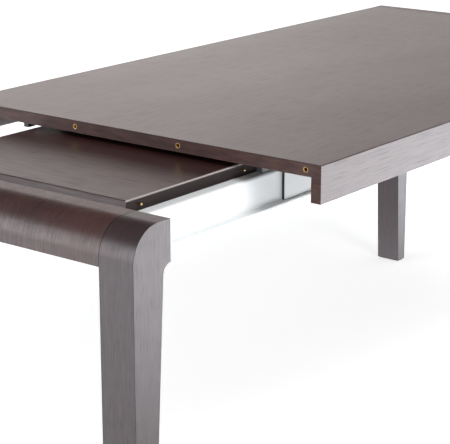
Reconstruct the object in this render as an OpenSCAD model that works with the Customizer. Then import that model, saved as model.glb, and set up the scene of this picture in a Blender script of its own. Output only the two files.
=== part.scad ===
// Extending dining table with a pull-out end and a stored leaf.
// X runs along the table, Y across it and Z up. The origin is on the floor, under the middle of the
// table as it stands with its near end (at -X) pulled out. Millimetres.

/* [Table] */
// Height from the floor to the top face
table_h = 750; // [700:1:790]
// Width across the two long sides
table_w = 900; // [860:1:1000]
// Length of the main top, between the two ends
top_len = 1574; // [1400:1:1800]
// Thickness of the main top
top_t = 24; // [20:1:30]
// Height of the side aprons and of both ends, measured from the top face
apron_h = 70; // [62:1:90]
// Thickness of the side aprons
apron_t = 21; // [16:1:26]
// Width of the chamfer along the edges of the main top and the leaf
edge = 1.2; // [0.5:0.1:2]

/* [Ends and legs] */
// Depth of each end along the table
end_d = 88; // [80:1:110]
// Radius of the rounded outer edge of each end
nose_r = 58; // [40:1:62]
// Wall of the hollow cross rail
rail_wall = 20; // [16:1:24]
// Width of a leg across the table
leg_w = 70; // [60:1:90]
// How far the top of a leg sits in from the inner face of its end
leg_step = 18; // [10:1:24]
// Depth of a leg along the table at the floor
foot_d = 33; // [28:1:50]
// Height of the glide under each leg
glide_h = 3; // [2:0.5:6]
// How far a glide sits in from the edges of the foot
glide_inset = 3; // [1:0.5:6]

/* [Pull-out beams] */
// Gap between the stored leaf's edge and the beam's web
leaf_side = 22; // [12:1:30]
// Height of the beam
beam_h = 63; // [50:1:70]
// Wall of the beam
beam_t = 3; // [2:0.5:4]
// Width of the ledge that carries the leaf
ledge_w = 42; // [36:1:60]
// Width of the flange that carries the main top
flange_w = 17; // [15:1:22]
// Length of the beam from the inner face of the near end
beam_len = 1480; // [1300:1:1490]
// Thickness of the plate that joins a beam to the near end
plate_t = 4; // [3:0.5:6]
// Height of that plate
plate_h = 76; // [60:1:90]
// Length of the slant that lifts the beam's lower edge to the plate
beam_slant = 37; // [20:1:60]
// Inner radius of the folds in a beam
bend_r = 2; // [1:0.5:3]
// Side of the square tube that ties the beams together
tie_size = 30; // [20:1:40]
// Wall of the tie tube
tie_t = 2; // [1.5:0.5:3]
// Distance of the tie tube's middle from the beams' far end
tie_back = 50; // [40:1:90]

/* [Movement] */
// How far the near end stands pulled out
pulled_out = 408; // [300:1:500]
// How far the near end pulls out in all
opening = 1030; // [950:1:1060]
// Distance of a beam's stop from the beam's far end
stop_back = 10; // [5:1:30]
// Length of a stop along the table
stop_l = 12; // [8:1:20]
// Height of a stop above the beam's flange
stop_h = 14; // [10:1:20]
// Thickness of the buffer on a stop
buffer_t = 4; // [3:0.5:8]
// Gap between sliding faces
slide_gap = 0.3; // [0.2:0.05:0.6]
// Gap round pins, bushes, dowels and screws that sit in a hole
seat_gap = 0.05; // [0.03:0.01:0.1]

/* [Leaf] */
// Width of the leaf, which is the length it adds to the table
leaf_w = 500; // [420:1:510]
// Thickness of the leaf
leaf_t = 24; // [18:1:26]
// Gap between the stored leaf and the main top above it
leaf_air = 10; // [6:1:14]
// Distance of the stored leaf from the near end
leaf_setback = 124; // [60:1:160]
// Length and width of the block behind each rear corner of the leaf
leaf_stop_l = 16; // [12:1:24]

/* [Pins and bushes] */
// Distance of the inner pins from the middle
pin_y_inner = 129; // [100:1:160]
// Distance of the outer pins from the table's long edges
pin_edge = 33; // [28:1:80]
// Radius of a locating pin
pin_r = 2.6; // [2:0.1:3.5]
// How far a locating pin stands out
pin_out = 8; // [6:1:14]
// How deep a locating pin sits in the wood
pin_in = 14; // [10:1:20]
// Radius of the hole in a bush
bush_hole_r = 2.9; // [2.9:0.1:3.9]
// Outer radius of a bush
bush_r = 5; // [4.8:0.1:6]
// Length of a bush
bush_len = 14; // [12:1:20]
// Radius of the bush's hole at its flared mouth
bush_mouth_r = 4.2; // [4:0.1:4.6]
// Depth of the flare
bush_flare = 5; // [2:1:8]

/* [Guides] */
// Distance of a guide's plate from the main top's near end
guide_start = 128; // [100:1:160]
// Distance of the caps from the main top's near end
cap_start = 32; // [20:1:60]
// Length of a cap, which closes the near end of a guide's flange and lip
cap_l = 20; // [12:1:30]
// Width of a cap
cap_w = 12.5; // [8:0.5:16]
// Height of a cap
cap_h = 18; // [16:1:24]
// Length left free between the guides and the far end
guide_back = 74; // [60:1:120]
// Wall of a guide
guide_t = 2.5; // [2:0.5:3]
// Width of a guide's flange under the main top
guide_w = 20; // [18:1:26]
// Depth of the lip along a guide's outer edge
lip_h = 14; // [8:1:16]
// Thickness of the glide liner between beam and guide
liner_t = 4.5; // [3:0.5:6]
// Thickness of the liner's foot, which stands on the beam's flange
liner_foot = 1; // [0.8:0.1:2]
// How far the liner's foot stays back from the plate's outer face
foot_inset = 0.8; // [0.4:0.1:1.5]

/* [Keeper clips] */
// Distance of the first clip's middle from the main top's near end
keeper_first = 390; // [200:1:410]
// Distance between the two clips of one side
keeper_pitch = 620; // [400:1:700]
// Length of a clip along the table
keeper_l = 40; // [30:1:60]
// Width of the clip's foot under the main top
keeper_foot = 16; // [14:1:24]
// How far the clip's hook reaches in under the beam's flange
keeper_hook = 8; // [6:1:12]
// Gap between the clip's hook and the beam's flange
keeper_gap = 0.5; // [0.3:0.1:1.5]

/* [Fixings] */
// Radius of a wood screw's shank
screw_r = 2; // [1.5:0.1:2.5]
// Radius of a wood screw's head
screw_head_r = 3.8; // [3:0.1:4.4]
// Length of a wood screw in the wood
screw_len = 14; // [10:1:16]
// Height of a wood screw's head
screw_head_h = 2; // [1.5:0.1:3]
// Largest spacing of the guide screws
screw_pitch = 230; // [150:1:300]
// Radius of a wooden dowel
dowel_r = 4; // [3:0.5:5]
// Length of a wooden dowel
dowel_len = 60; // [40:1:80]
// Radius of a leg bolt
leg_bolt_r = 4; // [3:0.5:5]
// Length of a leg bolt
leg_bolt_len = 90; // [70:1:100]
// Length of a corner block along the cross rail
block_l = 48; // [36:1:60]
// Width of an angle bracket across the table
bracket_w = 40; // [30:1:50]
// Length of an angle bracket's leg under the main top
bracket_leg = 45; // [36:1:55]
// Thickness of an angle bracket
bracket_t = 3; // [2:0.5:4]
// Height of an angle bracket's lower edge above the cross rail's lower edge
bracket_rise = 6; // [2:1:12]

/* [Hidden] */
$fn = 48;

wood_top = "#54443f";
wood_edge = "#45352f";
wood_leg = "#59494a";
white_paint = "#e9ebec";
bare_steel = "#a9adb0";
brass_tone = "#b98d45";
black_plastic = "#1d1d1f";
beech = "#c9a877";

// levels
apron_low = table_h - apron_h;
top_low = table_h - top_t;
leaf_top = top_low - leaf_air;
leaf_low = leaf_top - leaf_t;
ledge_top = leaf_low - slide_gap;
beam_low = ledge_top - beam_h;
flange_top = beam_low + beam_t;
pin_z = table_h - top_t / 2;
plate_top = top_low - leaf_air / 2;
plate_foot = plate_top - plate_h;

// places along the table
table_l = 2 * end_d + pulled_out + top_len;
near_face = -table_l / 2;
near_back = near_face + end_d;
top_near = near_back + pulled_out;
top_far = top_near + top_len;
far_face = top_far + end_d;
beam_near = near_back + plate_t;
beam_far = near_back + beam_len;
leaf_near = near_back + leaf_setback;
leaf_far = leaf_near + table_w;
closed_gap = 0.5;
guide_end = top_far - guide_back;

// places across the table
side_y = table_w / 2;
leg_y = side_y - leg_w;
web_in = leaf_w / 2 + leaf_side;
beam_y = web_in + beam_t;
tie_y = web_in - bend_r;
flange_y = beam_y + flange_w;
liner_in = beam_y + slide_gap;
guide_in = liner_in + liner_t;
guide_out = guide_in + guide_t;
guide_edge = guide_in + guide_w;
foot_out = guide_out - foot_inset;
pin_ys = [pin_edge - side_y, -pin_y_inner, pin_y_inner, side_y - pin_edge];

// the stored leaf, and the lower edge of the guides' plates
leaf_mid = leaf_near + table_w / 2;
leaf_pin_z = leaf_low + leaf_t / 2;
plate_low = flange_top + slide_gap + liner_foot;

// the stops on beams and guides
stop_in = guide_out + slide_gap;
stop_out = flange_y - slide_gap;
buffer_near = beam_far - stop_back - stop_l - buffer_t;
fixed_stop_far = buffer_near - (opening - pulled_out) - closed_gap;

// leg bolts, in an end's own frame
bolt_head_r = 1.6 * leg_bolt_r;
bolt_head_h = leg_bolt_r + 1;
bolt_x = end_d - rail_wall - bolt_head_r - 3;
bolt_zs = [apron_low + bolt_head_r + 6, table_h - rail_wall - bolt_head_r - 4];
block_in = leg_y - block_l;

// places of the screws under the main top, as [x, y]
guide_screw_y = (guide_out + guide_edge - guide_t) / 2;
guide_near = top_near + cap_start + cap_l;
guide_screw_x0 = guide_near + guide_w;
guide_screw_x1 = guide_end - guide_w;
guide_bays = ceil((guide_screw_x1 - guide_screw_x0) / screw_pitch);
guide_spots = [
    for (side = [-1, 1]) for (i = [0 : guide_bays])
        [guide_screw_x0 + i * (guide_screw_x1 - guide_screw_x0) / guide_bays, side * guide_screw_y]
];
keeper_wall = guide_edge + slide_gap;
keeper_screw_y = keeper_wall + guide_t + keeper_foot / 2;
keeper_xs = [top_near + keeper_first, top_near + keeper_first + keeper_pitch];
keeper_spots = [
    for (side = [-1, 1]) for (x = keeper_xs) for (dx = [-keeper_l / 4, keeper_l / 4])
        [x + dx, side * keeper_screw_y]
];
bracket_ys = [-(leg_y - bracket_w), 0, leg_y - bracket_w];
bracket_screw_x = top_far - bracket_leg * 0.6;
bracket_spots = [for (y = bracket_ys) for (dy = [-bracket_w / 4, bracket_w / 4]) [bracket_screw_x, y + dy]];
bracket_screw_z = (apron_low + bracket_rise + top_low - bracket_t) / 2;

// the tie tube and its screw in the left beam, as [x, y]
tie_x = beam_far - tie_back;
tie_spots = [[tie_x, web_in - ledge_w / 3]];

// places of the screws that hold the end plate on the left side, as [y, z]
plate_screws = [
    for (y = [leaf_w / 2 + screw_head_r * 2, flange_y - screw_head_r * 1.6])
        for (z = [ledge_top + screw_head_r * 2, plate_top - screw_head_r * 2]) [y, z]
];

// a flat outline in Y and Z, carried along X
module along_x(x0, x1) {
    translate([x0, 0, 0]) rotate([90, 0, 90]) linear_extrude(height = x1 - x0) children();
}

// a flat outline in X and Z, carried along Y
module along_y(y0, y1) {
    translate([0, y1, 0]) rotate([90, 0, 0]) linear_extrude(height = y1 - y0) children();
}

// a rod along X, from x0 to x1
module rod_x(x0, x1, y, z, r) {
    translate([x0, y, z]) rotate([0, 90, 0]) cylinder(r = r, h = x1 - x0);
}

// a rod along Y, from y0 to y1
module rod_y(x, y0, y1, z, r) {
    translate([x, y0, z]) rotate([-90, 0, 0]) cylinder(r = r, h = y1 - y0);
}

// a block between two corners
module block(low, high) {
    translate(low) cube(high - low);
}

// the same shape on the left and, mirrored, on the right
module both_sides() {
    children();
    mirror([0, 1, 0]) children();
}

// an end's own frame: X starts at its outer face and runs towards the table
module near_end() {
    translate([near_face, 0, 0]) children();
}
module far_end() {
    translate([far_face, 0, 0]) mirror([1, 0, 0]) children();
}

// Side outline of an end, drawn in from its top and sides by inset and reaching down to low
module end_outline(inset, low) {
    translate([nose_r, low]) square([end_d - inset - nose_r, table_h - inset - low]);
    translate([inset, low]) square([nose_r - inset, table_h - nose_r - low]);
    intersection() {
        translate([nose_r, table_h - nose_r]) circle(r = nose_r - inset, $fn = 96);
        translate([inset, table_h - nose_r]) square(nose_r - inset);
    }
}

// Side outline of a leg: the end's own outline, a hollow curve under it, and a taper to the foot
module leg_outline() {
    step_x = end_d - leg_step;
    step_z = apron_low - leg_step;
    foot_x = foot_d + (step_x - foot_d) * glide_h / step_z;
    end_outline(0, apron_low);
    difference() {
        translate([step_x, step_z]) square(leg_step);
        translate([end_d, step_z]) circle(r = leg_step, $fn = 64);
    }
    polygon([[0, glide_h], [foot_x, glide_h], [step_x, step_z], [step_x, apron_low], [0, apron_low]]);
}

// Dowels from the cross rail into the leg on the left side
module dowel_rods(r, spare) {
    half = dowel_len / 2 + spare;
    rod_y(end_d - rail_wall / 2, leg_y - half, leg_y + half, apron_low + 2.5 * dowel_r, r);
    rod_y(nose_r, leg_y - half, leg_y + half, table_h - rail_wall / 2, r);
}

// Bolts from the corner block into the leg on the left side
module bolt_rods(r, spare) {
    for (z = bolt_zs) rod_y(bolt_x, block_in - spare, block_in + leg_bolt_len + spare, z, r);
}

module pin_rods(x0, x1, r) {
    for (y = pin_ys) rod_x(x0, x1, y, pin_z, r);
}

module cross_rail() {
    difference() {
        along_y(-leg_y, leg_y) difference() {
            end_outline(0, apron_low);
            end_outline(rail_wall, apron_low - 1);
        }
        both_sides() dowel_rods(dowel_r + seat_gap, 1);
    }
}

// Leg on the left side, in its end's frame
module leg() {
    difference() {
        along_y(leg_y, side_y) leg_outline();
        dowel_rods(dowel_r + seat_gap, 1);
        bolt_rods(leg_bolt_r + seat_gap, 1);
    }
}

module corner_blocks() {
    both_sides() difference() {
        along_y(block_in, leg_y) end_outline(rail_wall, apron_low + 2);
        bolt_rods(leg_bolt_r + seat_gap, 1);
    }
}

module leg_bolts() {
    both_sides() {
        bolt_rods(leg_bolt_r, 0);
        for (z = bolt_zs) translate([bolt_x, block_in, z]) rotate([90, 0, 0])
            cylinder(r = bolt_head_r, h = bolt_head_h, $fn = 6);
    }
}

module dowels() {
    both_sides() dowel_rods(dowel_r, 0);
}

module leg_glides() {
    both_sides() block([glide_inset, leg_y + glide_inset, 0],
                       [foot_d - glide_inset, side_y - glide_inset, glide_h]);
}

// A screw driven upwards: its head sits under z and its shank reaches up by length
module screw_up(x, y, z, length) {
    translate([x, y, z - screw_head_h]) cylinder(r = screw_head_r, h = screw_head_h);
    translate([x, y, z]) cylinder(r = screw_r, h = length);
}

module screw_holes(spots, z0, z1) {
    for (p = spots) translate([p[0], p[1], z0]) cylinder(r = screw_r + seat_gap, h = z1 - z0);
}

// What a chamfer takes off a board's edge, drawn on an outline whose first direction is X or Y
module eased_edge(across, z) {
    translate([across, z]) rotate(45) square(sqrt(2) * edge, center = true);
}

module main_top() {
    color(wood_top) difference() {
        along_x(top_near, top_far) polygon([
            [-side_y, table_h], [side_y, table_h], [side_y - apron_t, top_low], [apron_t - side_y, top_low]
        ]);
        both_sides() along_x(top_near - 1, top_far + 1) eased_edge(side_y, table_h);
        along_y(-side_y - 1, side_y + 1) eased_edge(top_near, table_h);
        pin_rods(top_near - 1, top_near + bush_len + 1, bush_r + seat_gap);
        screw_holes(guide_spots, top_low - 1, top_low + screw_len + 1);
        screw_holes(keeper_spots, top_low - 1, top_low + screw_len + 1);
        screw_holes(bracket_spots, top_low - 1, top_low + screw_len + 1);
    }
}

// Apron on the left side, mitred to the main top
module apron() {
    difference() {
        along_x(top_near, top_far) polygon([
            [side_y, apron_low], [side_y, table_h], [side_y - apron_t, top_low], [side_y - apron_t, apron_low]
        ]);
        along_x(top_near - 1, top_far + 1) eased_edge(side_y, table_h);
    }
}

// A bush from the origin up along +Z, with its flared mouth at the origin
module bush(length) {
    rotate_extrude() polygon([
        [bush_mouth_r, 0], [bush_r, 0], [bush_r, length], [bush_hole_r, length], [bush_hole_r, bush_flare]
    ]);
}

module top_end_bushes() {
    color(brass_tone) for (y = pin_ys) translate([top_near, y, pin_z]) rotate([0, 90, 0]) bush(bush_len);
}

// A locating pin along +Z: its round-ended part stands out above the origin
module locating_pin() {
    translate([0, 0, -pin_in]) cylinder(r = pin_r, h = pin_in + pin_out - pin_r);
    translate([0, 0, pin_out - pin_r]) sphere(r = pin_r);
}

module near_end_pins() {
    color(brass_tone) for (y = pin_ys) translate([near_back, y, pin_z]) rotate([0, 90, 0]) locating_pin();
}

module near_pin_holes() {
    pin_rods(near_back - pin_in - 1, near_back + 1, pin_r + seat_gap);
}

module end_plate_screw_holes(x0, x1) {
    both_sides() for (p = plate_screws) rod_x(x0, x1, p[0], p[1], screw_r + seat_gap);
}

module near_cross_rail() {
    color(wood_leg) difference() {
        near_end() cross_rail();
        near_pin_holes();
        end_plate_screw_holes(near_back - screw_len - 1, near_back + 1);
    }
}

module near_leg() {
    color(wood_leg) difference() {
        near_end() leg();
        near_pin_holes();
    }
}

module near_right_leg() {
    mirror([0, 1, 0]) near_leg();
}

module bracket_wall_screw_holes(x0, x1) {
    for (p = bracket_spots) rod_x(x0, x1, p[1], bracket_screw_z, screw_r + seat_gap);
}

module far_cross_rail() {
    color(wood_leg) difference() {
        far_end() cross_rail();
        bracket_wall_screw_holes(top_far - 1, top_far + screw_len + 1);
    }
}

module far_leg() {
    color(wood_leg) far_end() leg();
}

// Angle brackets that hold the far end to the main top
module far_end_brackets() {
    color(bare_steel) difference() {
        for (y = bracket_ys) along_y(y - bracket_w / 2, y + bracket_w / 2) {
            translate([top_far - bracket_leg, top_low - bracket_t]) square([bracket_leg, bracket_t]);
            translate([top_far - bracket_t, apron_low + bracket_rise])
                square([bracket_t, top_low - apron_low - bracket_rise]);
        }
        screw_holes(bracket_spots, top_low - bracket_t - 1, top_low + 1);
        bracket_wall_screw_holes(top_far - bracket_t - 1, top_far + 1);
    }
}

module bracket_screws() {
    color(bare_steel) for (p = bracket_spots) {
        screw_up(p[0], p[1], top_low - bracket_t, bracket_t + screw_len);
        rod_x(top_far - bracket_t - screw_head_h, top_far - bracket_t, p[1], bracket_screw_z, screw_head_r);
        rod_x(top_far - bracket_t, top_far + screw_len, p[1], bracket_screw_z, screw_r);
    }
}

// Left guide: a folded plate that hangs beside the beam and stands on its flange through the liner
module guide() {
    difference() {
        union() {
            along_x(guide_near, guide_end) {
                translate([guide_in, top_low - guide_t]) square([guide_w, guide_t]);
                translate([guide_edge - guide_t, top_low - lip_h]) square([guide_t, lip_h]);
            }
            along_x(top_near + guide_start, guide_end)
                translate([guide_in, plate_low]) square([guide_t, top_low - plate_low]);
        }
        screw_holes(guide_spots, top_low - guide_t - 1, top_low + 1);
    }
}

// Caps on the near ends of both guides
module guide_caps() {
    color(black_plastic) both_sides() block([guide_near - cap_l, guide_edge - cap_w, top_low - cap_h],
                                            [guide_near, guide_edge, top_low]);
}

// Left liner: a strip against the beam's web, with a foot under the guide's plate
module guide_liner() {
    low = flange_top + slide_gap;
    color(black_plastic) along_x(top_near + guide_start, guide_end) polygon([
        [liner_in + bend_r, low], [foot_out, low], [foot_out, plate_low], [guide_in, plate_low],
        [guide_in, top_low], [liner_in, top_low], [liner_in, low + bend_r]
    ]);
}

module guide_screws() {
    color(bare_steel) for (p = guide_spots) screw_up(p[0], p[1], top_low - guide_t, guide_t + screw_len);
}

// Clips on the left side that hook under the beam's flange
module keeper_clips() {
    hook_low = beam_low - keeper_gap - guide_t;
    wall_out = keeper_wall + guide_t;
    color(bare_steel) difference() {
        for (x = keeper_xs) along_x(x - keeper_l / 2, x + keeper_l / 2) {
            translate([keeper_wall, hook_low]) square([guide_t, top_low - hook_low]);
            translate([keeper_wall, top_low - guide_t]) square([guide_t + keeper_foot, guide_t]);
            translate([flange_y - keeper_hook, hook_low])
                square([wall_out - flange_y + keeper_hook, guide_t]);
        }
        screw_holes(keeper_spots, top_low - guide_t - 1, top_low + 1);
    }
}

module keeper_screws() {
    color(bare_steel) for (p = keeper_spots) screw_up(p[0], p[1], top_low - guide_t, guide_t + screw_len);
}

// Fixed stops on the guides, which the beams' buffers meet at full opening
module opening_stops() {
    color(bare_steel) both_sides() block([fixed_stop_far - stop_l, guide_out, plate_low],
                                         [fixed_stop_far, stop_out, plate_low + stop_h]);
}

module beam_stops() {
    color(white_paint) both_sides() block([beam_far - stop_back - stop_l, stop_in, flange_top],
                                          [beam_far - stop_back, stop_out, flange_top + stop_h]);
}

module stop_buffers() {
    color(black_plastic) both_sides() block([buffer_near, stop_in, flange_top + slide_gap],
                                            [buffer_near + buffer_t, stop_out, flange_top + stop_h]);
}

// A quarter of a bend in the sheet, towards the quadrant given by the signs
module bend(y, z, sy, sz) {
    outer = bend_r + beam_t;
    intersection() {
        translate([y, z]) difference() {
            circle(r = outer);
            circle(r = bend_r);
        }
        translate([y + min(0, sy * outer), z + min(0, sz * outer)]) square(outer);
    }
}

// Left beam: a Z of folded sheet with the leaf's ledge inwards and the top's flange outwards
module beam() {
    color(white_paint) difference() {
        along_x(beam_near, beam_far) {
            translate([beam_y - ledge_w, ledge_top - beam_t]) square([ledge_w - beam_t - bend_r, beam_t]);
            bend(web_in - bend_r, ledge_top - beam_t - bend_r, 1, 1);
            translate([web_in, flange_top + bend_r]) square([beam_t, beam_h - 2 * (beam_t + bend_r)]);
            bend(beam_y + bend_r, flange_top + bend_r, -1, -1);
            translate([beam_y + bend_r, beam_low]) square([flange_w - bend_r, beam_t]);
        }
        screw_holes(tie_spots, ledge_top - beam_t - 1, ledge_top + 1);
        along_y(beam_y - ledge_w, flange_y + 1) polygon([
            [beam_near - 1, beam_low - 1], [beam_near + beam_slant, beam_low - 1],
            [beam_near + beam_slant, beam_low], [beam_near, plate_foot], [beam_near - 1, plate_foot]
        ]);
    }
}

module end_plate() {
    color(white_paint) difference() {
        block([near_back, beam_y - ledge_w, plate_foot], [beam_near, flange_y, plate_top]);
        end_plate_screw_holes(near_back - 1, beam_near + 1);
    }
}

module end_plate_screws() {
    color(bare_steel) both_sides() for (p = plate_screws) {
        rod_x(near_back - screw_len, beam_near, p[0], p[1], screw_r);
        rod_x(beam_near, beam_near + screw_head_h, p[0], p[1], screw_head_r);
    }
}

// Square tube that ties the far ends of both beams together
module tie_bar() {
    high = ledge_top - beam_t;
    color(white_paint) difference() {
        block([tie_x - tie_size / 2, -tie_y, high - tie_size], [tie_x + tie_size / 2, tie_y, high]);
        block([tie_x - tie_size / 2 + tie_t, -tie_y - 1, high - tie_size + tie_t],
              [tie_x + tie_size / 2 - tie_t, tie_y + 1, high - tie_t]);
        both_sides() screw_holes(tie_spots, high - tie_t - 1, high + 1);
    }
}

module tie_bar_screws() {
    color(bare_steel) both_sides() for (p = tie_spots) {
        translate([p[0], p[1], ledge_top]) cylinder(r = screw_head_r, h = screw_head_h);
        translate([p[0], p[1], ledge_top - beam_t - tie_t - 2]) cylinder(r = screw_r, h = beam_t + tie_t + 2);
    }
}

// Blocks behind the leaf, which carry it along as the end is pulled out
module leaf_stops() {
    stop_y = leaf_w / 2 + leaf_stop_l / 4;
    color(black_plastic) both_sides() block([leaf_far + slide_gap, stop_y - leaf_stop_l, ledge_top],
                                            [leaf_far + slide_gap + leaf_stop_l, stop_y, ledge_top + leaf_t / 2]);
}

module extension_leaf() {
    color(wood_top) difference() {
        block([leaf_near, -leaf_w / 2, leaf_low], [leaf_far, leaf_w / 2, leaf_top]);
        both_sides() along_x(leaf_near - 1, leaf_far + 1) eased_edge(leaf_w / 2, leaf_top);
        for (x = [leaf_near, leaf_far]) along_y(-leaf_w / 2 - 1, leaf_w / 2 + 1) eased_edge(x, leaf_top);
        for (d = pin_ys) {
            rod_y(leaf_mid + d, -leaf_w / 2 - 1, pin_in + 1 - leaf_w / 2, leaf_pin_z, pin_r + seat_gap);
            rod_y(leaf_mid + d, leaf_w / 2 - bush_len - 1, leaf_w / 2 + 1, leaf_pin_z, bush_r + seat_gap);
        }
    }
}

module leaf_pins() {
    color(brass_tone) for (d = pin_ys) translate([leaf_mid + d, -leaf_w / 2, leaf_pin_z])
        rotate([90, 0, 0]) locating_pin();
}

module leaf_bushes() {
    color(brass_tone) for (d = pin_ys) translate([leaf_mid + d, leaf_w / 2, leaf_pin_z])
        rotate([90, 0, 0]) bush(bush_len);
}

main_top();
color(wood_edge) apron();  // left_apron
color(wood_edge) mirror([0, 1, 0]) apron();  // right_apron
top_end_bushes();
far_cross_rail();
far_leg();  // far_left_leg
mirror([0, 1, 0]) far_leg();  // far_right_leg
color(beech) far_end() corner_blocks();  // far_corner_blocks
color(bare_steel) far_end() leg_bolts();  // far_leg_bolts
color(beech) far_end() dowels();  // far_dowels
color(black_plastic) far_end() leg_glides();  // far_leg_glides
far_end_brackets();
bracket_screws();
color(white_paint) guide();  // left_guide
color(white_paint) mirror([0, 1, 0]) guide();  // right_guide
guide_caps();
guide_liner();  // left_guide_liner
mirror([0, 1, 0]) guide_liner();  // right_guide_liner
guide_screws();
keeper_clips();  // left_keeper_clips
mirror([0, 1, 0]) keeper_clips();  // right_keeper_clips
keeper_screws();
opening_stops();
near_cross_rail();
near_leg();  // near_left_leg
near_right_leg();
color(beech) near_end() corner_blocks();  // near_corner_blocks
color(bare_steel) near_end() leg_bolts();  // near_leg_bolts
color(beech) near_end() dowels();  // near_dowels
color(black_plastic) near_end() leg_glides();  // near_leg_glides
near_end_pins();
beam();  // left_beam
mirror([0, 1, 0]) beam();  // right_beam
end_plate();  // left_end_plate
mirror([0, 1, 0]) end_plate();  // right_end_plate
end_plate_screws();
tie_bar();
tie_bar_screws();
beam_stops();
stop_buffers();
leaf_stops();
extension_leaf();
leaf_pins();
leaf_bushes();
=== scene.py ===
"""Extending dining table in dark wood, with its near end pulled out and a spare leaf on the beams.

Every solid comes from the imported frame. This script gives each of them its finish, lays the pale floor,
sets the soft studio light and puts the camera where the photograph was taken from.
"""
import math

import bpy
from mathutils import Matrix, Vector


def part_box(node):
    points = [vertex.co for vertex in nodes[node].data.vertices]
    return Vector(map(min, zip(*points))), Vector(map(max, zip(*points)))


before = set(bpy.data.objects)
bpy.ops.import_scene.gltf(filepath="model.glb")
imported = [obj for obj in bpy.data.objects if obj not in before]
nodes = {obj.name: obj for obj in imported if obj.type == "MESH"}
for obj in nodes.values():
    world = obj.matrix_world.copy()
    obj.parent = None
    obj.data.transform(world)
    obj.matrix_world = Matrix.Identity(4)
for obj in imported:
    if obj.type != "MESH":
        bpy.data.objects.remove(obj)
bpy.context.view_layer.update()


# Camera

# Width of the photograph, in pixels
PHOTO_W = 450

# Fitted to the photograph: the camera's place in metres, with X counted from the near end of the main top,
# its turn and its tip, and its focal length in pixels
CAMERA_FROM_TOP = Vector((-2.2121, -1.9548, 1.4350))
CAMERA_YAW = math.radians(37.789)
CAMERA_PITCH = math.radians(16.400)
CAMERA_FOCAL_PX = 1596.7

# Width of the camera's sensor in millimetres, and how far the camera sees in metres
SENSOR_WIDTH = 36.0
SIGHT = 100.0


def place_camera():
    """Camera with its view along +X turned by the yaw towards +Y, then tipped down by the pitch."""
    top_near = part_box("main_top")[0].x
    forward = Vector((
        math.cos(CAMERA_YAW) * math.cos(CAMERA_PITCH),
        math.sin(CAMERA_YAW) * math.cos(CAMERA_PITCH),
        -math.sin(CAMERA_PITCH),
    ))
    data = bpy.data.cameras.new("camera")
    data.sensor_width = SENSOR_WIDTH
    data.sensor_fit = "HORIZONTAL"
    data.lens = CAMERA_FOCAL_PX / PHOTO_W * data.sensor_width
    data.clip_end = SIGHT
    camera = bpy.data.objects.new("camera", data)
    camera.location = CAMERA_FROM_TOP + Vector((top_near, 0.0, 0.0))
    camera.rotation_euler = forward.to_track_quat("-Z", "Y").to_euler()
    bpy.context.scene.collection.objects.link(camera)
    bpy.context.scene.camera = camera


place_camera()


# Colours

def srgb(r, g, b):
    """Linear colour with alpha from 8-bit sRGB values."""
    values = [c / 255.0 for c in (r, g, b)]
    linear = [c / 12.92 if c <= 0.04045 else ((c + 0.055) / 1.055) ** 2.4 for c in values]
    return (*linear, 1.0)


WHITE = (1.0, 1.0, 1.0, 1.0)


# Node tools

class Shader:
    """Short calls that add and join nodes in one material or node group."""

    def __init__(self, tree):
        self.tree = tree

    def node(self, kind, **settings):
        """New node of this kind with its settings."""
        made = self.tree.nodes.new(kind)
        for key, value in settings.items():
            setattr(made, key, value)
        return made

    def feed(self, socket, value):
        """Links value into the socket if it is one, and sets it otherwise."""
        if isinstance(value, bpy.types.NodeSocket):
            self.tree.links.new(value, socket)
        else:
            socket.default_value = value

    def math(self, operation, *values):
        """Result of one sum on up to three values."""
        made = self.node("ShaderNodeMath", operation=operation)
        for socket, value in zip(made.inputs, values):
            self.feed(socket, value)
        return made.outputs[0]

    def rest(self, value):
        """One minus the value."""
        return self.math("SUBTRACT", 1.0, value)

    def spread(self, value, low, high, to_low=0.0, to_high=1.0, smooth=False):
        """Value carried from low..high to to_low..to_high and held at the ends."""
        made = self.node("ShaderNodeMapRange", clamp=True)
        made.interpolation_type = "SMOOTHSTEP" if smooth else "LINEAR"
        for name, item in (("Value", value), ("From Min", low), ("From Max", high),
                           ("To Min", to_low), ("To Max", to_high)):
            self.feed(made.inputs[name], item)
        return made.outputs["Result"]

    def mix(self, factor, a, b):
        """Colour between a and b."""
        made = self.node("ShaderNodeMix", data_type="RGBA", clamp_factor=True)
        self.feed(made.inputs[0], factor)
        self.feed(made.inputs[6], a)
        self.feed(made.inputs[7], b)
        return made.outputs[2]

    def mix_value(self, factor, a, b):
        """Number between a and b."""
        made = self.node("ShaderNodeMix", data_type="FLOAT", clamp_factor=True)
        self.feed(made.inputs[0], factor)
        self.feed(made.inputs[2], a)
        self.feed(made.inputs[3], b)
        return made.outputs[0]

    def combine(self, x, y, z):
        """Vector of three numbers."""
        made = self.node("ShaderNodeCombineXYZ")
        for socket, value in zip(made.inputs, (x, y, z)):
            self.feed(socket, value)
        return made.outputs[0]

    def separate(self, vector):
        """The three numbers of a vector."""
        made = self.node("ShaderNodeSeparateXYZ")
        self.feed(made.inputs[0], vector)
        return made.outputs

    def noise(self, vector, scale=1.0, detail=2.0, roughness=0.5):
        """Cloudy noise from 0 to 1, mostly near 0.5."""
        made = self.node("ShaderNodeTexNoise", noise_dimensions="3D")
        self.feed(made.inputs["Vector"], vector)
        made.inputs["Scale"].default_value = scale
        made.inputs["Detail"].default_value = detail
        made.inputs["Roughness"].default_value = roughness
        return made.outputs["Fac"]

    def bump(self, surface, height, strength, distance):
        """Gives the surface small heights, with the distance in metres."""
        made = self.node("ShaderNodeBump")
        made.inputs["Strength"].default_value = strength
        made.inputs["Distance"].default_value = distance
        self.feed(made.inputs["Height"], height)
        self.feed(surface.inputs["Normal"], made.outputs["Normal"])


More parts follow.
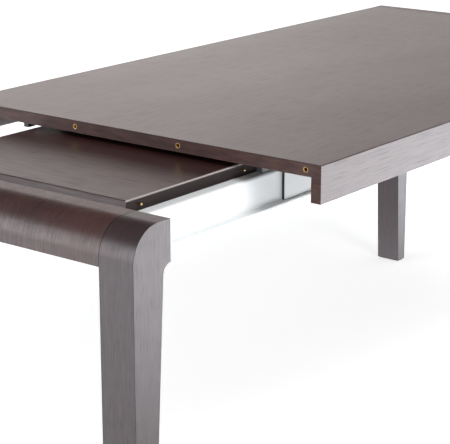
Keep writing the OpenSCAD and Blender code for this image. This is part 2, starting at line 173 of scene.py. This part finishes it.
def new_material(name):
    """Material with its node calls and its surface shader."""
    material = bpy.data.materials.new(name)
    material.use_nodes = True
    surface = material.node_tree.nodes["Principled BSDF"]
    return material, Shader(material.node_tree), surface


# Wood grain

# Streaks per metre along and across the fibres, how many finer sizes the noise adds and at what strength,
# and where in the noise each layer starts
DRIFT = dict(along_scale=2.2, across_scale=5.0, detail=2.0, roughness=0.5, start=9.2)
FIGURE = dict(along_scale=1.2, across_scale=22.0, detail=2.0, roughness=0.5, start=3.1)
CLOUD = dict(along_scale=16.0, across_scale=70.0, detail=2.0, roughness=0.6, start=5.3)
FIBRE = dict(along_scale=5.0, across_scale=360.0, detail=3.0, roughness=0.65, start=7.7)
PORES = dict(along_scale=14.0, across_scale=800.0, detail=1.0, roughness=0.5, start=1.9)

# Change of the noise per metre through the wood
DEEP_SCALE = 40.0

# Where in its noise a pore starts, and where it is full
PORE_EDGES = (0.56, 0.70)


def make_grain_group():
    """Straight wood grain.

    Along, Across and Deep are lengths in metres along the fibres, across them on the face, and through it.
    Drift is the slow change of warmth over the board, Figure its broad stripes, Cloud its mottling,
    Fibre the fine streaks, and Pores the short dark lines of open pores. Each is noise whose coordinate
    along the fibres grows much more slowly than the one across them, so that it is drawn out into streaks.
    """
    tree = bpy.data.node_groups.new("wood_grain", "ShaderNodeTree")
    for label in ("Along", "Across", "Deep"):
        tree.interface.new_socket(label, in_out="INPUT", socket_type="NodeSocketFloat")
    for label in ("Drift", "Figure", "Cloud", "Fibre", "Pores"):
        tree.interface.new_socket(label, in_out="OUTPUT", socket_type="NodeSocketFloat")
    shader = Shader(tree)
    source = shader.node("NodeGroupInput").outputs
    target = shader.node("NodeGroupOutput").inputs

    def streaks(along_scale, across_scale, detail, roughness, start):
        place = shader.combine(
            shader.math("MULTIPLY_ADD", source["Along"], along_scale, start),
            shader.math("MULTIPLY", source["Across"], across_scale),
            shader.math("MULTIPLY", source["Deep"], DEEP_SCALE),
        )
        return shader.noise(place, detail=detail, roughness=roughness)

    shader.feed(target["Drift"], streaks(**DRIFT))
    shader.feed(target["Figure"], streaks(**FIGURE))
    shader.feed(target["Cloud"], streaks(**CLOUD))
    shader.feed(target["Fibre"], streaks(**FIBRE))
    shader.feed(target["Pores"], shader.spread(streaks(**PORES), *PORE_EDGES))
    return tree


GRAIN = make_grain_group()


# Share of a face's direction along an axis above which it counts as facing that way
FACING = 0.75

# Ranges of the noise over which each layer comes in
FIBRE_RANGE = (0.35, 0.68)
FIGURE_RANGE = (0.35, 0.7)
CLOUD_RANGE = (0.4, 0.7)
WARM_RANGE = (0.4, 0.62)
SHINE_RANGE = (0.3, 0.7)
PATCH_RANGE = (0.35, 0.65)

# The most that each layer takes from the colour
FIGURE_SHARE = 0.5
WARM_SHARE = 0.6
PORE_SHARE = 0.8
PATCH_SHARE = 0.7

# How far the roughness goes below and above its middle from streak to streak, and what a pore adds
SMOOTHER = 0.05
ROUGHER = 0.07
PORE_ROUGHER = 0.15

# The most that dark streaks, pores and clouds take from the lacquer, and what the warm parts keep of it
STREAK_DULLS = 0.35
PORE_DULLS = 0.3
CLOUD_DULLS = 0.5
WARM_KEEPS = 0.88
LACQUER_ROUGHNESS = 0.3

# Relief of fibres and pores: its strength for a contrast of 1, and its height in metres
RELIEF = 0.3
RELIEF_HEIGHT = 0.0003

# How far a dark line reaches to each side: in full, and until it has faded out
LINE_EDGES = (0.0005, 0.0016)

# Width and colour of an edge painted lighter as a highlight, where a rounded edge would catch the light; it
# reaches twice as far down as in
EDGE_HIGHLIGHT_WIDTH = 0.002
EDGE_HIGHLIGHT = srgb(205, 196, 194)


def grain_lengths(shader, grain, place, facing):
    """Lengths along and across the fibres. See wood() for grain."""
    x, y, z = place
    lengths = {"X": x, "Y": y, "Z": z, "W": shader.math("SUBTRACT", z, shader.math("ABSOLUTE", x))}
    towards_x, towards_y, towards_z = grain

    def pick(which):
        value = lengths[towards_z[which]]
        for axis, way in (("X", towards_x), ("Y", towards_y)):
            if way[which] != towards_z[which]:
                value = shader.mix_value(facing[axis], value, lengths[way[which]])
        return value

    return pick(0), pick(1)


def wood(name, grain, tone, fibre, pore, roughness, lacquer=0.0, contrast=1.0, mottle=0.0, fineness=1.0,
         joint=None, bare=0.0, joint_roughness=0.7, joint_patches=None, lines=(), edge_highlight=None):
    """Open-grained wood, with or without a satin lacquer.

    grain gives, for faces towards X, Y and Z, the axis that the fibres follow and the one across them. W is
    the way round a rounded end, over its top and down its face. tone, fibre and pore are the colours of
    the ground, the light streaks and the dark pores. contrast sets how much the sheen changes between them,
    and mottle how cloudy the wood is. fineness makes the streaks narrower, and shorter by its square.

    joint names the axis that the unlacquered joint faces point along. bare is their share of the pores'
    colour, joint_roughness their roughness, and joint_patches a colour that shows there in patches.
    lines are distances from the middle at which a dark line runs along a joint or a corner: at a joint it is
    the joint's own dark gap, at a corner it is painted shade where a rounded corner turns away from the
    light. The last argument gives the distance from the middle, and the height, of an edge painted lighter
    as a highlight, where a rounded edge would catch the light.
    """
    material, shader, surface = new_material(name)
    coordinates = shader.node("ShaderNodeTexCoord")
    x, y, z = shader.separate(coordinates.outputs["Object"])
    facing = {axis: shader.math("GREATER_THAN", shader.math("ABSOLUTE", part), FACING)
              for axis, part in zip("XYZ", shader.separate(coordinates.outputs["Normal"]))}

    along, across = grain_lengths(shader, grain, (x, y, z), facing)
    streaks = shader.node("ShaderNodeGroup", node_tree=GRAIN)
    shader.feed(streaks.inputs["Along"], shader.math("MULTIPLY", along, fineness * fineness))
    shader.feed(streaks.inputs["Across"], shader.math("MULTIPLY", across, fineness))
    shader.feed(streaks.inputs["Deep"], shader.math("MULTIPLY", facing["Y"], y))
    drift, figure, cloud, fine, pores = (
        streaks.outputs[layer] for layer in ("Drift", "Figure", "Cloud", "Fibre", "Pores"))
    warm = shader.spread(drift, *WARM_RANGE)

    colour = shader.mix(shader.spread(fine, *FIBRE_RANGE), tone, fibre)
    colour = shader.mix(shader.spread(figure, *FIGURE_RANGE, 0.0, FIGURE_SHARE), colour, fibre)
    if mottle:
        colour = shader.mix(shader.spread(cloud, *CLOUD_RANGE, 0.0, mottle), colour, fibre)
    colour = shader.mix(shader.math("MULTIPLY", warm, WARM_SHARE), colour, fibre)
    colour = shader.mix(shader.math("MULTIPLY", pores, PORE_SHARE), colour, pore)
    rough = shader.math(
        "ADD", shader.spread(fine, *SHINE_RANGE, roughness - SMOOTHER, roughness + ROUGHER),
        shader.math("MULTIPLY", pores, PORE_ROUGHER))

    # What dulls the lacquer, each from 0 to 1
    shine = [shader.spread(pores, 0.0, 1.0, 1.0, 1.0 - PORE_DULLS * contrast),
             shader.spread(cloud, *PATCH_RANGE, 1.0 - CLOUD_DULLS * mottle, 1.0),
             shader.spread(warm, 0.0, 1.0, 1.0, WARM_KEEPS)] if lacquer else []

    if joint:
        colour = shader.mix(shader.math("MULTIPLY", facing[joint], bare), colour, pore)
        if joint_patches:
            patches = shader.spread(cloud, *PATCH_RANGE, 0.0, PATCH_SHARE)
            colour = shader.mix(shader.math("MULTIPLY", facing[joint], patches), colour, joint_patches)
        rough = shader.mix_value(facing[joint], rough, joint_roughness)
        shine.append(shader.rest(facing[joint]))
    # A dark line at each distance: at the joint between rail and legs it is the joint's own gap, at the
    # legs' outer corners it is painted shade where a rounded corner turns from the light
    for distance in lines:
        away = shader.math("ABSOLUTE", shader.math("SUBTRACT", shader.math("ABSOLUTE", y), distance))
        line = shader.math("MULTIPLY", shader.spread(away, *LINE_EDGES, 1.0, 0.0),
                           shader.rest(facing["Y"]))
        colour = shader.mix(line, colour, pore)
        shine.append(shader.rest(line))
    # Painted highlight: the top of the outer edges is painted a lighter colour where a rounded edge would
    # catch the light
    if edge_highlight:
        out = shader.spread(shader.math("ABSOLUTE", y), edge_highlight[0] - EDGE_HIGHLIGHT_WIDTH, edge_highlight[0])
        up = shader.spread(z, edge_highlight[1] - 2.0 * EDGE_HIGHLIGHT_WIDTH, edge_highlight[1])
        colour = shader.mix(shader.math("MULTIPLY", out, up), colour, EDGE_HIGHLIGHT)

    shader.feed(surface.inputs["Base Color"], colour)
    shader.feed(surface.inputs["Roughness"], rough)
    if lacquer:
        coat = shader.spread(fine, *SHINE_RANGE, lacquer * (1.0 - STREAK_DULLS * contrast), lacquer)
        for part in shine:
            coat = shader.math("MULTIPLY", coat, part)
        shader.feed(surface.inputs["Coat Weight"], coat)
        surface.inputs["Coat Roughness"].default_value = LACQUER_ROUGHNESS
    shader.bump(surface, shader.math("SUBTRACT", fine, pores), min(1.0, RELIEF * contrast), RELIEF_HEIGHT)
    return material


# Other finishes

# Speckles per metre, fine and broad, and the noise range over which they change the tone
FINE_SPECKS = 900.0
BROAD_SPECKS = 9.0
SPECK_RANGE = (0.35, 0.65)

# How far the roughness goes to each side of its middle, and the strength of the texture
ROUGHNESS_SWING = 0.04
TEXTURE_STRENGTH = 0.3


def plain(name, colour, roughness, metallic=0.0, speck=0.04, texture_height=0.00005):
    """A finish with a fine speckle in its tone and a slight texture in its surface.

    speck is the share by which the darker speckles lose tone.
    """
    material, shader, surface = new_material(name)
    place = shader.node("ShaderNodeTexCoord").outputs["Object"]
    fine = shader.noise(place, scale=FINE_SPECKS)
    broad = shader.noise(place, scale=BROAD_SPECKS)
    dark = tuple(c * (1.0 - speck) for c in colour[:3]) + (1.0,)
    mean = shader.math("MULTIPLY_ADD", broad, 0.5, shader.math("MULTIPLY", fine, 0.5))
    shader.feed(surface.inputs["Base Color"], shader.mix(shader.spread(mean, *SPECK_RANGE), dark, colour))
    shader.feed(surface.inputs["Roughness"],
                shader.spread(fine, *SHINE_RANGE, roughness - ROUGHNESS_SWING, roughness + ROUGHNESS_SWING))
    surface.inputs["Metallic"].default_value = metallic
    shader.bump(surface, fine, TEXTURE_STRENGTH, texture_height)
    return material


# Finishes of this table

# Stained wood of the top and aprons, and what differs on the leaf, the cross rails and the legs
DARK = dict(tone=srgb(34, 17, 16), fibre=srgb(64, 36, 33), pore=srgb(14, 8, 7), roughness=0.4,
            lacquer=0.85)
LEAF = dict(DARK, tone=srgb(22, 9, 9), fibre=srgb(66, 37, 33), lacquer=1.0)
RAIL = dict(DARK, tone=srgb(28, 13, 12), fibre=srgb(76, 48, 44))
LEG = dict(DARK, tone=srgb(29, 17, 20), fibre=srgb(58, 40, 43))

# Where the sawn ends of the top and aprons show lighter wood through the stain
WARM_EDGE = srgb(88, 62, 54)

# Grain for faces towards X, Y and Z: along the table, along the leaf, and round the ends and down the legs
ALONG_TABLE = ("YZ", "XZ", "XY")
ACROSS_TABLE = ("YZ", "XZ", "YX")
ROUND_ENDS = ("WY", "ZX", "WY")

# Dark lines: at the joint between cross rail and legs the joint's own gap, and at the legs' outer corners
# painted shade of a rounded corner
JOINT_AND_CORNER_SHADE_LINES = (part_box("near_cross_rail")[1].y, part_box("near_left_leg")[1].y)
# Top outer edge of the leaf, along which its painted highlight runs
LEAF_HIGHLIGHT_EDGE = (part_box("extension_leaf")[1].y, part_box("extension_leaf")[1].z)

wood_top = wood("wood_top", ALONG_TABLE, contrast=0.6, joint="X", joint_roughness=0.6,
                joint_patches=WARM_EDGE, **DARK)
wood_leaf = wood("wood_leaf", ACROSS_TABLE, contrast=1.5, mottle=0.1, joint="Y", bare=0.8,
                 joint_roughness=0.8, edge_highlight=LEAF_HIGHLIGHT_EDGE, **LEAF)
wood_apron = wood("wood_apron", ALONG_TABLE, joint="X", joint_patches=WARM_EDGE, **DARK)
wood_rail = wood("wood_rail", ROUND_ENDS, contrast=2.0, mottle=0.5, fineness=1.5, lines=JOINT_AND_CORNER_SHADE_LINES, **RAIL)
wood_leg = wood("wood_leg", ROUND_ENDS, contrast=1.4, mottle=0.15, fineness=1.5, lines=JOINT_AND_CORNER_SHADE_LINES, **LEG)
plain_wood = wood("plain_wood", ACROSS_TABLE, tone=srgb(205, 174, 132), fibre=srgb(219, 192, 152),
                  pore=srgb(176, 142, 101), roughness=0.6)
white_paint = plain("white_paint", srgb(236, 239, 240), 0.5, speck=0.02)
plated_steel = plain("plated_steel", srgb(178, 181, 184), 0.34, metallic=1.0)
brass = plain("brass", srgb(222, 192, 136), 0.25, metallic=1.0)
black_plastic = plain("black_plastic", srgb(26, 26, 28), 0.45, texture_height=0.0001)
rubber = plain("rubber", srgb(30, 30, 30), 0.8, texture_height=0.0002)

FINISHES = {
    wood_top: ["main_top"],
    wood_leaf: ["extension_leaf"],
    wood_apron: ["left_apron", "right_apron"],
    wood_rail: ["near_cross_rail", "far_cross_rail"],
    wood_leg: ["near_left_leg", "near_right_leg", "far_left_leg", "far_right_leg"],
    plain_wood: ["near_corner_blocks", "far_corner_blocks", "near_dowels", "far_dowels"],
    white_paint: ["left_beam", "right_beam", "left_guide", "right_guide", "left_end_plate",
                  "right_end_plate", "tie_bar", "beam_stops"],
    plated_steel: ["near_leg_bolts", "far_leg_bolts", "bracket_screws", "guide_screws", "keeper_screws",
                   "end_plate_screws", "tie_bar_screws", "far_end_brackets", "left_keeper_clips",
                   "right_keeper_clips", "opening_stops"],
    brass: ["top_end_bushes", "near_end_pins", "leaf_pins", "leaf_bushes"],
    black_plastic: ["guide_caps", "left_guide_liner", "right_guide_liner", "far_leg_glides",
                    "near_leg_glides", "leaf_stops"],
    rubber: ["stop_buffers"],
}


def dress_nodes():
    """Gives each CAD node its finish."""
    for material, names in FINISHES.items():
        for name in names:
            mesh = nodes[name].data
            mesh.materials.clear()
            mesh.materials.append(material)


dress_nodes()


# Floor

# Half the floor's side in metres, and its own tone and roughness
FLOOR_HALF = 9.0
FLOOR_TONE = (0.9, 0.9, 0.9, 1.0)
FLOOR_ROUGHNESS = 0.9

# What the floor adds to its own tone where the camera sees it: near the table, where its shadow shows, and
# far away, where the floor joins the white surroundings. Then the distances from the middle of the two.
FLOOR_GLOW = (0.58, 0.85)
FLOOR_REACH = (1.3, 2.6)

# What the floor shows in a gloss: near the pull-out end, and beyond the far end. Then the places of the two,
# as x less half of y.
FLOOR_SHEEN = (0.45, 2.3)
FLOOR_LENGTH = (0.1, 1.2)

# Light with a slight blue in it
COOL = (0.92, 0.95, 1.0)


def make_floor():
    """Flat square under the table that shows white and keeps the table's soft shadow."""
    half = FLOOR_HALF
    corners = [(-half, -half, 0.0), (half, -half, 0.0), (half, half, 0.0), (-half, half, 0.0)]
    mesh = bpy.data.meshes.new("floor")
    mesh.from_pydata(corners, [], [(0, 1, 2, 3)])
    floor = bpy.data.objects.new("floor", mesh)
    bpy.context.scene.collection.objects.link(floor)
    material, shader, surface = new_material("floor_white")
    surface.inputs["Base Color"].default_value = FLOOR_TONE
    surface.inputs["Roughness"].default_value = FLOOR_ROUGHNESS
    surface.inputs["Specular IOR Level"].default_value = 0.0
    shown = shader.node("ShaderNodeLightPath").outputs
    seen = shader.math("MAXIMUM", shown["Is Camera Ray"], shown["Is Transmission Ray"])
    x, y, _ = shader.separate(shader.node("ShaderNodeTexCoord").outputs["Object"])
    sheen = shader.spread(shader.math("MULTIPLY_ADD", y, -0.5, x), *FLOOR_LENGTH, *FLOOR_SHEEN)
    away = shader.math("SQRT", shader.math("MULTIPLY_ADD", x, x, shader.math("MULTIPLY", y, y)))
    glow = shader.math("MULTIPLY", seen, shader.spread(away, *FLOOR_REACH, *FLOOR_GLOW, smooth=True))
    glow = shader.mix_value(shown["Is Glossy Ray"], glow, sheen)
    shader.feed(surface.inputs["Emission Strength"], glow)
    shader.feed(surface.inputs["Emission Color"],
                shader.mix(shown["Is Glossy Ray"], WHITE, (*COOL, 1.0)))
    mesh.materials.append(material)


# Surroundings

# What a gloss shows of the surroundings. Each row has the two ends of a change and the strengths there. The
# first three go by height, as the sine of the angle above the horizon: a bright band that fades upwards,
# its end, and a little light overhead. The last goes by the direction's x less its y, and dims the band
# on the side of the camera's right.
BAND_FADES = (0.10, 0.30, 2.3, 0.55)
BAND_ENDS = (0.30, 0.46, 1.0, 0.03)
OVERHEAD = (0.7, 0.9, 0.0, 0.3)
RIGHT_DIMS = (0.1, 0.4, 1.0, 0.62)

# White with a slight warmth, for what the gloss shows
WARM = (1.0, 0.93, 0.915, 1.0)

# Even light on the object from all round
ROUND_LIGHT = 0.32


def make_surroundings():
    """White to the camera; dim, even light on the object; a bright band near the horizon in reflections."""
    world = bpy.data.worlds.new("studio")
    bpy.context.scene.world = world
    world.use_nodes = True
    world.node_tree.nodes.clear()
    shader = Shader(world.node_tree)
    along, across, height = shader.separate(shader.node("ShaderNodeTexCoord").outputs["Generated"])
    shown = shader.node("ShaderNodeLightPath").outputs
    band = shader.math("MULTIPLY", shader.spread(height, *BAND_FADES, smooth=True),
                       shader.spread(height, *BAND_ENDS, smooth=True))
    band = shader.math("ADD", band, shader.spread(height, *OVERHEAD))
    side = shader.math("SUBTRACT", along, across)
    band = shader.math("MULTIPLY", band, shader.spread(side, *RIGHT_DIMS, smooth=True))
    level = shader.mix_value(shown["Is Glossy Ray"], ROUND_LIGHT, band)
    seen = shader.math("MAXIMUM", shown["Is Camera Ray"], shown["Is Transmission Ray"])
    level = shader.mix_value(seen, level, 1.0)
    light = shader.node("ShaderNodeBackground")
    shader.feed(light.inputs["Color"], shader.mix(shown["Is Glossy Ray"], WHITE, WARM))
    shader.feed(light.inputs["Strength"], level)
    shader.feed(shader.node("ShaderNodeOutputWorld").inputs["Surface"], light.outputs[0])


# Lamps

# Beam of a plain lamp, and the narrower one of a lamp that lights the floor alone
WIDE_BEAM = math.radians(180.0)
FLOOR_BEAM = math.radians(75.0)


def soft_box(name, place, aim, width, height, power, colour=(1.0, 1.0, 1.0), beam=WIDE_BEAM):
    """Rectangular lamp at place, facing aim, with its sides in metres and its power in watts."""
    data = bpy.data.lights.new(name, "AREA")
    data.shape = "RECTANGLE"
    data.size = width
    data.size_y = height
    data.energy = power
    data.color = colour
    data.spread = beam
    lamp = bpy.data.objects.new(name, data)
    lamp.location = place
    lamp.rotation_euler = (Vector(aim) - Vector(place)).to_track_quat("-Z", "Y").to_euler()
    bpy.context.scene.collection.objects.link(lamp)
    return lamp


def floor_box(name, x, y, z, width, height, power):
    """Cool lamp that hangs over the floor beside the table and lights the floor below it."""
    soft_box(name, (x, y, z), (x, y, 0.0), width, height, power, colour=COOL, beam=FLOOR_BEAM)


def light_studio():
    """Main light from the right, one from above, one from the left, and three over the floor."""
    key = soft_box("key_box", place=(-1.5, -4.6, 2.0), aim=(-0.2, 0.0, 0.6),
                   width=2.0, height=1.6, power=100.0)
    key.visible_glossy = False
    soft_box("top_box", place=(-1.6, -2.2, 4.0), aim=(-0.4, 0.0, 0.7), width=3.0, height=1.6, power=80.0)
    soft_box("left_box", place=(-5.0, 4.3, 2.0), aim=(-0.8, 0.0, 0.5), width=3.0, height=3.4, power=125.0,
             colour=COOL)
    floor_box("right_floor_box", x=1.4, y=-2.3, z=2.2, width=3.0, height=1.8, power=64.0)
    floor_box("far_floor_box", x=2.4, y=-0.4, z=1.2, width=1.6, height=1.6, power=15.0)
    floor_box("left_floor_box", x=-3.0, y=1.4, z=2.4, width=3.0, height=1.6, power=35.0)


make_floor()
make_surroundings()
light_studio()

bpy.context.scene.view_settings.view_transform = "Standard"
